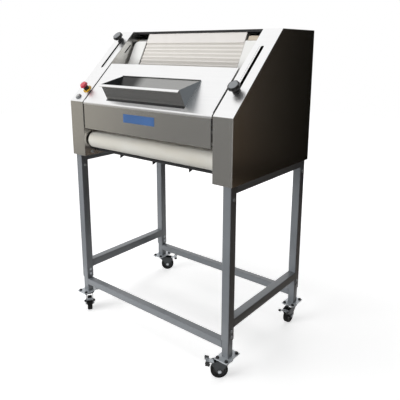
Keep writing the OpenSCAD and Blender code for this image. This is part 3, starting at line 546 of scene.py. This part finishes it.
def build_pedal(corner):
    """A tilted lever on its pin, with a rubber pad at each end of its cross bar."""
    joint = JOINTS[f"pedal_swing_{corner}"]
    pin, axis = Vector(joint["pos_m"]), Vector(joint["axis"]).normalized()
    ahead = axis.cross(Z)
    if (pin - Vector(JOINTS[f"roll_{corner}"]["pos_m"])).dot(ahead) <= 0:
        ahead = Z.cross(axis)
    tilt = Matrix.Rotation(math.radians(14), 3, ahead.cross(Z))
    here = frame_at(pin, tilt @ Z, tilt @ ahead)
    bore, hub, wide, inset = 3.1 * MM, 5 * MM, 15 * MM, 2.5 * MM
    arm, bar, half, thick = 33.8 * MM, 16 * MM, 28 * MM, 2.5 * MM
    pad, lap, cover, proud = 12 * MM, 2 * MM, 1 * MM, 0.2 * MM
    soft, pad_soft = 0.6 * MM, 1.6 * MM
    over = hub - 0.5 * MM
    under, tip, bar_half = over - thick, arm - cover, half - pad + lap
    bm = bmesh.new()
    lathe(bm, closed([(bore, -wide), (hub, -wide), (hub, wide), (bore, wide)]), frame_at(pin, axis), steps=24)
    slab(bm, (0, -wide + inset, under), (tip, wide - inset, over), here, soft)
    slab(bm, (arm - bar + cover, -bar_half, under), (tip, bar_half, over), here, soft)
    for side in (-1, 1):
        y0, y1 = sorted((side * half, side * (half - pad)))
        slab(bm, (arm - bar, y0, -hub), (arm, y1, over + proud), here, pad_soft, segments=3, mat=1)
    add_piece(f"pedal_{corner}", bm, ["zinc", "black_plastic"], f"pedal_{corner}",
              [f"brake_pedal_{corner}"])


def build_races():
    """The ball races between the top plates and the forks."""
    bm = bmesh.new()
    r, bore, low_in, top_in = 24 * MM, 8 * MM, 2 * MM, 1 * MM
    run, plate = 0.4 * MM, 4 * MM
    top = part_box("caster_plates")[1].z - plate
    for corner in CORNERS:
        at = Vector(JOINTS[f"swivel_{corner}"]["pos_m"])
        low = extent(f"caster_fork_{corner}", Z)[1] + run
        race = [(bore, low), (r - low_in, low), (r, (low + top) / 2), (r - top_in, top), (bore, top)]
        lathe(bm, closed(race), frame_at((at.x, at.y, 0), Z), steps=40)
    weld(bm)
    add_piece("caster_races", bm, ["fork_black"], "root")


def build_plate_bolts():
    """Bolts with washers in the top plates' holes, heads up and nuts under."""
    bm = bmesh.new()
    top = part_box("caster_plates")[1].z
    reach_x, reach_y, under = 23 * MM, 38 * MM, 4.05 * MM
    washer_r, washer, across, head, nut = 8 * MM, 1.4 * MM, 13 * MM, 5.3 * MM, 6 * MM
    for corner in CORNERS:
        middle = Vector(JOINTS[f"swivel_{corner}"]["pos_m"])
        for x in (-reach_x, reach_x):
            for y in (-reach_y, reach_y):
                at = Vector((middle.x + x, middle.y + y, top))
                disc = [(0, 0), (washer_r, 0), (washer_r, washer), (0, washer)]
                lathe(bm, disc, frame_at(at, Z), steps=20)
                hex_head(bm, frame_at(at + washer * Z, Z), across, head)
                hex_head(bm, frame_at(at - under * Z, -Z), across, nut)
    add_piece("caster_plate_bolts", bm, ["dark_steel"], "root")


def build_casters():
    dressed("caster_plates", ["zinc"], BAR_R)
    for corner in CORNERS:
        build_fork(corner)
        build_wheel(corner)
        build_pedal(corner)
    build_races()
    build_plate_bolts()


# Housing
def build_housing():
    """Panels and covers; the cheeks' faces differ by side, with a lighter copy of the steel on the faces turned up
    as painted light and a darker copy on the sides as painted shade, and the top panel's front edge is painted
    black as shade.
    """
    across, front, side, back = range(4)

    # The cheeks' faces turned up get the lighter copy of the steel and those turned sideways the darker one:
    # painted light and shade
    def by_side(face):
        normal = face.normal
        if abs(normal.x) > TURNED:
            return side
        if abs(normal.y) > SQUARE_ON:
            return front if normal.y < 0 else back
        return across

    for node in ("cheek_cover_left", "cheek_cover_right"):
        dressed(node, ["steel_painted_light", "steel_z", "steel_painted_shade", "steel_back"], CHEEK_R,
                which=by_side)
    for node in ("side_plate_left", "side_plate_right"):
        dressed(node, ["steel_y"], 0, 0)
    dressed("front_panel", ["steel_x"], FOLD_R)
    dressed("rear_panel", ["steel_back"], FOLD_R)
    # The top panel's front edge faces are painted black, as shade
    dressed("top_panel", ["steel_x", "black_plastic"], THICK_R,
            which=lambda face: face.normal.y < -TURNED)
    dressed("under_tray", ["dark_steel"], THICK_R)
    # The whole slanted cover gets the lighter copy of the steel: painted light
    dressed("slanted_cover", ["steel_painted_light"], 0)
    dressed("blank_plate", ["blue_plate"], PLATE_R, PLATE_RIM_R)
    dressed("cable_gland", ["black_plastic"], BOLT_R)
    dressed("tie_rods", ["bright_steel"], ROD_R)
    dressed("bearings", ["bronze"], ROD_R)
    build_tray()
    build_tray_seal()
    build_gap_shade_strips()
    build_panel_screws()


def build_tray():
    """The tray, its steel painted darker than the cover's as shade, its ends painted darker still as a dark
    reflection, and its inside painted with a reflection that is dark at the left; its front rim is folded down at
    about the cover's slope, and painted bright as a highlight.
    """
    front, rim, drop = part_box("cover_tray")[0].y, 9.2 * MM, 8 * MM
    endwise, upward = 0.5, 0.2
    outside, bright, inside, end = range(4)

    def fold_rim(bm):
        for vertex in bm.verts:
            if vertex.co.y < front + SAME_POINT:
                vertex.co.z -= drop

    def by_place(face):
        # The front rim gets the lighter steel: painted highlight
        if face.calc_center_median().y < front + rim:
            return bright
        if face_width(face) < SHEET_LIMIT:
            return outside
        # The ends get the darkest tray steel: painted dark reflection
        if abs(face.normal.x) > endwise:
            return end
        return inside if face.normal.z > upward else outside

    dressed("cover_tray", ["tray_steel_painted_shade", "steel_painted_light", "tray_inside_painted_reflection", "tray_end_painted_reflection"], 0,
            which=by_place, shape=fold_rim)


def build_tray_seal():
    """A black strip along the tray's front foot."""
    low, high = extent("cover_tray", X)
    foot = extent("cover_tray", SLOPE_UP)[0]
    face = extent("cover_tray", SLOPE_OUT)[0]
    wide, thick, soft = 9 * MM, 1.5 * MM, 0.4 * MM
    here = frame_at(foot * SLOPE_UP + face * SLOPE_OUT, SLOPE_OUT, X)
    bm = bmesh.new()
    slab(bm, (low, -wide, 0), (high, 0, thick), here, soft)
    add_piece("tray_seal", bm, ["black_plastic"], "cover")


def build_gap_shade_strips():
    """Black strips along the slanted cover's and the front panel's outer edges, beside the cheeks: painted shade
    of the gaps there.
    """
    wide, thick, bend = 3 * MM, 0.4 * MM, 22 * MM
    low, high = extent("slanted_cover", SLOPE_UP)
    face = extent("slanted_cover", SLOPE_OUT)[1]
    side = extent("slanted_cover", X)[1]
    panel_low, panel_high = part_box("front_panel")
    over, front = bmesh.new(), bmesh.new()
    for x in (-side, side - wide):
        slab(over, (x, low + bend, 0), (x + wide, high, thick), frame_at(face * SLOPE_OUT, SLOPE_OUT, X))
        slab(front, (x, panel_low.y - thick, panel_low.z), (x + wide, panel_low.y, panel_high.z), Matrix())
    add_piece("cover_gap_shade", over, ["black_plastic"], "cover")
    add_piece("panel_gap_shade", front, ["black_plastic"], "root")


def build_panel_screws():
    """Screws round the rear panel's edge."""
    bm = bmesh.new()
    inset, r, height = 12 * MM, 4.5 * MM, 2.6 * MM
    low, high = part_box("rear_panel")
    middle = (low.z + high.z) / 2
    for x in (low.x + inset, 0, high.x - inset):
        for z in (low.z + inset, middle, high.z - inset):
            if x or z != middle:
                pan_head(bm, frame_at((x, high.y, z), Y), r, height)
    add_piece("rear_panel_screws", bm, ["bright_steel"], "root")


# Feed, sheeting and moulding
def build_feed():
    """Belts, guides and rollers; the feed belt's ribs are lighter than the cloth between them, whose darker colour
    is painted shade.
    """
    upper, lower = (Vector(JOINTS[f"feed_{end}_spin"]["pos_m"]) for end in ("upper", "lower"))
    out = X.cross((upper - lower).normalized())
    rib = 1.2 * MM
    ribs = extent("feed_belt", out)[1] - rib
    dressed("feed_belt", ["feed_cloth_painted_shade", "rib_cloth"], 0, RIB_RIM_R,
            which=lambda face: face.calc_center_median().dot(out) > ribs)
    dressed("feed_guard", ["cream_plastic"], PLASTIC_R)
    for node in ("side_guide_left", "side_guide_right"):
        dressed(node, ["white_plastic"], PLASTIC_R)
    for node in ("feed_roller_upper", "feed_roller_lower", "discharge_roller", "tail_roller"):
        dressed(node, ["bright_steel"], BAR_R)
    for node in ("sheeting_roller_rear", "sheeting_roller_front"):
        dressed(node, ["white_plastic"], PLASTIC_R)
    dressed("roller_carrier", ["bright_steel"], BAR_R)
    dressed("dough_chute", ["steel_x"], 0)
    dressed("moulding_belt", ["felt"], 0, FELT_RIM_R)
    dressed("pressure_board", ["wood"], THICK_R)
    build_feed_block(upper, out)


def build_feed_block(upper, out):
    """A beige block above the right side guide, in front of the upper roller's shaft."""
    low, high, soft = (312 * MM, -16 * MM, 14 * MM), (386 * MM, 6 * MM, 30 * MM), 2 * MM
    bm = bmesh.new()
    slab(bm, low, high, frame_at(upper, out, X), soft)
    add_piece("feed_block", bm, ["beige_plastic"], "root")


# Drive
def build_drive():
    dressed("gearmotor", ["motor_paint"], MOTOR_R)
    dressed("motor_shelf", ["bright_steel"], BAR_R)
    dressed("motor_sprocket", ["dark_steel"], BAR_R)
    dressed("drive_chains", ["dark_steel"], 0)
    dressed("slide_rails", ["bright_steel"], BAR_R)


# Controls
def build_knob(name):
    """A lobed grip with a grey cap in its top, on a waist and a foot."""
    node = f"{name}_knob"
    foot, height = foot_of(node)
    here, steps = frame_at(foot, SLOPE_OUT), 72
    r = half_size(node, X)
    grip_h, foot_r, foot_h, waist_r = 18 * MM, 17 * MM, 7 * MM, 10 * MM
    edge, soft, brow, sink = 1 * MM, 2 * MM, 5 * MM, 1.2 * MM
    lobes, hollow = 9, 2.2 * MM
    under, cap = height - grip_h, r - 6 * MM
    neck, rim, groove = (cap, under + edge / 2), (r - 2 * soft, height - sink / 2), (cap, height - sink)
    stem = [(0, 0), (foot_r, 0), (foot_r, foot_h - soft), (foot_r - soft, foot_h), (waist_r, foot_h + edge),
            (waist_r, under - edge), neck]
    grip = [neck, (r - soft, under + 1.5 * edge), (r, under + brow), (r, height - brow),
            (r - sink, height - soft), rim]
    top = [groove, (cap - sink / 2, height - 0.2 * edge), (cap / 2, height), (0, height)]
    bm = bmesh.new()
    lathe(bm, stem, here, steps)
    lathe(bm, grip, here, steps, lobes=lobes, depth=hollow)
    lathe(bm, [rim, (cap, height - 0.4 * edge), groove], here, steps)
    lathe(bm, top, here, steps, mat=1)
    weld(bm)
    add_piece(f"{name}_grip", bm, ["black_plastic", "knob_grey"], BODY_OF[node], [node])


def build_scale(name, side):
    """Ticks beside a slot, with a line along them."""
    block = foot_of(f"{name}_knob")[0]
    low, high = JOINTS[f"{name}_slide"]["range_m"]
    face = extent(f"cheek_cover_{side}", SLOPE_OUT)[1]
    inward = -1 if side == "right" else 1
    beside, lift, thin = 15 * MM, 0.15 * MM, 0.6 * MM
    steps, every, short, tall = 20, 5, 5 * MM, 9 * MM
    start = block - block.dot(SLOPE_OUT) * SLOPE_OUT + face * SLOPE_OUT + inward * beside * X
    here = frame_at(start, SLOPE_OUT, X)
    along = 1 if here.to_3x3().col[1].dot(SLOPE_UP) > 0 else -1
    bm = bmesh.new()
    y0, y1 = sorted((along * low, along * high))
    slab(bm, (-thin / 2, y0, 0), (thin / 2, y1, lift), here)
    for i in range(steps + 1):
        y = y0 + (y1 - y0) * i / steps
        tip = -inward * (short if i % every else tall)
        slab(bm, (min(0, tip), y - thin / 2, 0), (max(0, tip), y + thin / 2, lift), here)
    add_piece(f"scale_{side}", bm, ["ink"], "root")


def on_cheek(node):
    """The place of a button on the left cheek's slanted face, and how far the button stands out of it."""
    face = extent("cheek_cover_left", SLOPE_OUT)[1]
    foot = foot_of(node)[0]
    here = frame_at(foot + (face - foot.dot(SLOPE_OUT)) * SLOPE_OUT, SLOPE_OUT)
    return here, extent(node, SLOPE_OUT)[1] - face


def build_buttons():
    """The stop button with its ring and collar, and the push button in its bezel."""
    stop, stop_top = on_cheek("stop_button")
    push, push_top = on_cheek("start_button")
    edge, soft, lift = 1 * MM, 0.8 * MM, 0.1 * MM
    collar, collar_r, collar_bore = 19 * MM, 13.2 * MM, 8.1 * MM

    r, stem, deep = 20 * MM, 8 * MM, 18 * MM
    low, bulge, brow = collar + 6.3 * MM, 3 * MM, 5 * MM
    cap = [(stem, -deep), (stem, low), (r - bulge, low), (r - soft, low + soft), (r, low + bulge),
           (r - edge, low + brow), (r * 0.8, stop_top - 1.2 * edge), (r / 2, stop_top - 0.2 * edge),
           (0, stop_top)]
    bm = bmesh.new()
    lathe(bm, cap, stop, steps=64)
    lathe(bm, [(0, -deep), (stem, -deep)], stop, steps=64)
    weld(bm)
    add_piece("stop_cap", bm, ["stop_red"], "stop", ["stop_button"])

    ring, ring_r, ring_bore = 3 * MM, 22 * MM, 13.3 * MM
    bezel_r, bezel_bore = 15 * MM, 9.4 * MM
    ring_shape = [(ring_bore, lift), (ring_r, lift), (ring_r, ring - soft), (ring_r - soft, ring),
                  (ring_bore, ring)]
    collar_shape = [(collar_bore, lift), (collar_r, lift), (collar_r, collar - edge),
                    (collar_r - edge, collar), (collar_bore, collar)]
    bezel_shape = [(bezel_bore, lift), (bezel_r, lift), (bezel_r, 3.5 * MM), (13.6 * MM, 5.6 * MM),
                   (12.4 * MM, 6 * MM), (bezel_bore, 5 * MM)]
    bm = bmesh.new()
    lathe(bm, closed(ring_shape), stop, steps=64)
    lathe(bm, closed(collar_shape), stop, steps=64, mat=1)
    lathe(bm, closed(bezel_shape), push, steps=48, mat=2)
    weld(bm)
    add_piece("button_rings", bm, ["ring_yellow", "black_plastic", "knob_grey"], "root",
              ["button_bezels"])

    r, deep, dish = 9.3 * MM, 12 * MM, 6 * MM
    cap = [(0, -deep), (r, -deep), (r, push_top - edge), (r - edge, push_top), (dish, push_top - edge / 2),
           (0, push_top - soft)]
    bm = bmesh.new()
    lathe(bm, cap, push, steps=48)
    add_piece("start_cap", bm, ["button_silver"], "start", ["start_button"])


def build_controls():
    cheeks = {"gap": "right", "pressure": "left"}
    for name in cheeks:
        build_knob(name)
        dressed(f"{name}_slider", ["dark_steel"], BAR_R)
    for name, side in cheeks.items():
        build_scale(name, side)
    build_buttons()


# Studio: light of the world, the floor, lamps that gloss does not show and cards that only gloss shows
WHITE = (1, 1, 1, 1)
AMBIENT = 0.06
FLOOR_HALF, FLOOR_PALE, FLOOR_ROUGHNESS, FLOOR_BOUNCE = 8.0, 0.9, 0.9, 0.18
GLOW_START, GLOW_END, GLOW_NEAR, GLOW_FAR = 0.8, 5.0, 0.58, 1.0
CARD_HALF = 0.5

# Place, aim, size and power
LAMPS = {
    "key": ((-2.2, -4.3, 1.45), (0, 0, 0.75), (3.0, 2.2), 165),
    "low_fill": ((0.0, -4.2, 0.45), (0, 0, 0.5), (2.4, 0.7), 30),
    "top": ((-0.6, -0.8, 4.4), (0, 0, 1.0), (4.5, 4.0), 75),
    "rear_fill": ((-0.4, 3.4, 1.9), (0, 0.3, 1.0), (2.6, 1.4), 40),
}

# Place, aim, size and colour
BLACK, BROWN, UMBER = (0.004, 0.004, 0.003), (0.13, 0.095, 0.066), (0.04, 0.034, 0.027)
GREY, PALE = (0.25, 0.248, 0.24), (0.52, 0.495, 0.44)
CARDS = {
    "brown_right": ((4.46, 0.65, 0.4), (2.13, -1.24, 0.4), (5.9, 4.4), BROWN),
    "umber_right": ((2.44, 3.14, 0.4), (0.11, 1.25, 0.4), (0.5, 4.4), UMBER),
    "black_right": ((0.84, 5.11, 0.4), (-1.49, 3.22, 0.4), (4.6, 4.4), BLACK),
    "brown_floor": ((2.6, 0.4, 0.02), (2.6, 0.4, 1.0), (4.0, 3.4), BROWN),
    "black_floor": ((2.1, 3.9, 0.02), (2.1, 3.9, 1.0), (5.0, 3.6), BLACK),
    "grey_front": ((-1.54, -4.44, 0.4), (0.92, -1.34, 0.97), (4.3, 3.0), GREY),
    "pale_front": ((-4.28, -2.27, 0.4), (-1.82, 0.83, 0.97), (2.7, 3.0), PALE),
    "grey_floor": ((-1.2, -2.5, 0.02), (-1.2, -2.5, 1.0), (4.4, 3.8), GREY),
    "pale_floor": ((-5.0, -2.7, 0.02), (-5.0, -2.7, 1.0), (3.2, 4.2), PALE),
    "grey_behind": ((3.4, -4.4, 1.2), (0, 0, 1.2), (7.0, 4.0), GREY),
    "grey_floor_right": ((2.8, -2.6, 0.02), (2.8, -2.6, 1.0), (3.6, 3.8), GREY),
}


def put(thing, at, aim, axis):
    """Puts an object of the studio in its place with one of its axes towards a point."""
    thing.location = at
    thing.rotation_euler = (Vector(aim) - Vector(at)).to_track_quat(axis, "Y").to_euler()


def sheet(name, half, mat):
    """A flat square in the scene."""
    bm = bmesh.new()
    bmesh.ops.create_grid(bm, x_segments=1, y_segments=1, size=half)
    mesh = bpy.data.meshes.new(name)
    bm.to_mesh(mesh)
    bm.free()
    mesh.materials.append(mat)
    made = bpy.data.objects.new(name, mesh)
    scene.collection.objects.link(made)
    return made


def area_light(name, at, aim, size, power):
    """A soft lamp that does not show in gloss."""
    data = bpy.data.lights.new(name, "AREA")
    data.shape = "RECTANGLE"
    data.size, data.size_y = size
    data.energy = power
    light = bpy.data.objects.new(name, data)
    light.visible_glossy = False
    put(light, at, aim, "-Z")
    scene.collection.objects.link(light)


def seen_directly(tree):
    """1 for rays from the camera, from gloss and through glass, and 0 for the light that falls on things."""
    path = tree.nodes.new("ShaderNodeLightPath")
    total = path.outputs["Is Camera Ray"]
    for name in ("Is Glossy Ray", "Is Transmission Ray"):
        total = combined(tree, "MAXIMUM", total, path.outputs[name])
    return total


def split_by_ray(tree, falling, seen, output):
    """Gives an output one shader for the light that falls on things and another for what is seen directly."""
    mix = tree.nodes.new("ShaderNodeMixShader")
    tree.links.new(seen_directly(tree), mix.inputs["Fac"])
    tree.links.new(falling, mix.inputs[1])
    tree.links.new(seen, mix.inputs[2])
    tree.links.new(mix.outputs["Shader"], tree.nodes[output].inputs["Surface"])


def build_world():
    """White where it is seen, and a weak light on things."""
    world = bpy.data.worlds.new("studio")
    scene.world = world
    world.use_nodes = True
    tree = world.node_tree
    light, seen = tree.nodes["Background"], tree.nodes.new("ShaderNodeBackground")
    for background, strength in ((light, AMBIENT), (seen, 1.0)):
        background.inputs["Color"].default_value = WHITE
        background.inputs["Strength"].default_value = strength
    split_by_ray(tree, light.outputs["Background"], seen.outputs["Background"], "World Output")


def build_floor():
    """A pale floor that keeps the shadow and is as white far off, where no lamp reaches, as near by."""
    mat, tree, bsdf = shader("floor", (FLOOR_PALE,) * 3, FLOOR_ROUGHNESS, Specular_IOR_Level=0.0)
    bsdf.inputs["Emission Color"].default_value = WHITE
    away = tree.nodes.new("ShaderNodeVectorMath")
    away.operation = "LENGTH"
    tree.links.new(place(tree), away.inputs[0])
    glow = mapped(tree, away.outputs["Value"], GLOW_START, GLOW_END, GLOW_NEAR, GLOW_FAR, "SMOOTHSTEP")
    tree.links.new(glow, bsdf.inputs["Emission Strength"])
    plain = tree.nodes.new("ShaderNodeBsdfDiffuse")
    plain.inputs["Color"].default_value = (FLOOR_BOUNCE, FLOOR_BOUNCE, FLOOR_BOUNCE, 1)
    split_by_ray(tree, plain.outputs["BSDF"], bsdf.outputs["BSDF"], "Material Output")
    floor = sheet("floor", FLOOR_HALF, mat)


def build_card(name, at, aim, size, colour):
    """A studio card that only shows in reflections."""
    mat = bpy.data.materials.new(name)
    mat.use_nodes = True
    tree = mat.node_tree
    tree.nodes.remove(tree.nodes["Principled BSDF"])
    glow = tree.nodes.new("ShaderNodeEmission")
    glow.inputs["Color"].default_value = (*colour, 1)
    tree.links.new(glow.outputs["Emission"], tree.nodes["Material Output"].inputs["Surface"])
    card = sheet(name, CARD_HALF, mat)
    card.scale = (*size, 1)
    put(card, at, aim, "Z")
    card.visible_camera = False
    card.visible_diffuse = False
    card.visible_shadow = False
    card.visible_transmission = False


def build_studio():
    build_world()
    build_floor()
    for name, lamp in LAMPS.items():
        area_light(name, *lamp)
    for name, card in CARDS.items():
        build_card(name, *card)


# Camera: where the photograph was taken from
CAMERA_AT = (1.49, -1.766, 1.38)
CAMERA_YAW, CAMERA_PITCH, CAMERA_ROLL = (math.radians(a) for a in (38.66, 12.78, -0.17))
CAMERA_LENS, CAMERA_SENSOR = 42.93, 36
CAMERA_SHIFT = -0.11


def build_camera():
    data = bpy.data.cameras.new("camera")
    data.sensor_width = CAMERA_SENSOR
    data.lens = CAMERA_LENS
    data.shift_y = CAMERA_SHIFT
    camera = bpy.data.objects.new("camera", data)
    level = math.cos(CAMERA_PITCH)
    ahead = Vector((-math.sin(CAMERA_YAW) * level, math.cos(CAMERA_YAW) * level, -math.sin(CAMERA_PITCH)))
    roll = Matrix.Rotation(CAMERA_ROLL, 3, ahead)
    camera.rotation_euler = (roll @ ahead.to_track_quat("-Z", "Y").to_matrix()).to_euler()
    camera.location = CAMERA_AT
    scene.collection.objects.link(camera)
    scene.camera = camera


build_camera()
build_stand()
build_casters()
build_housing()
build_feed()
build_drive()
build_controls()
build_studio()
scene.view_settings.view_transform = "Standard"
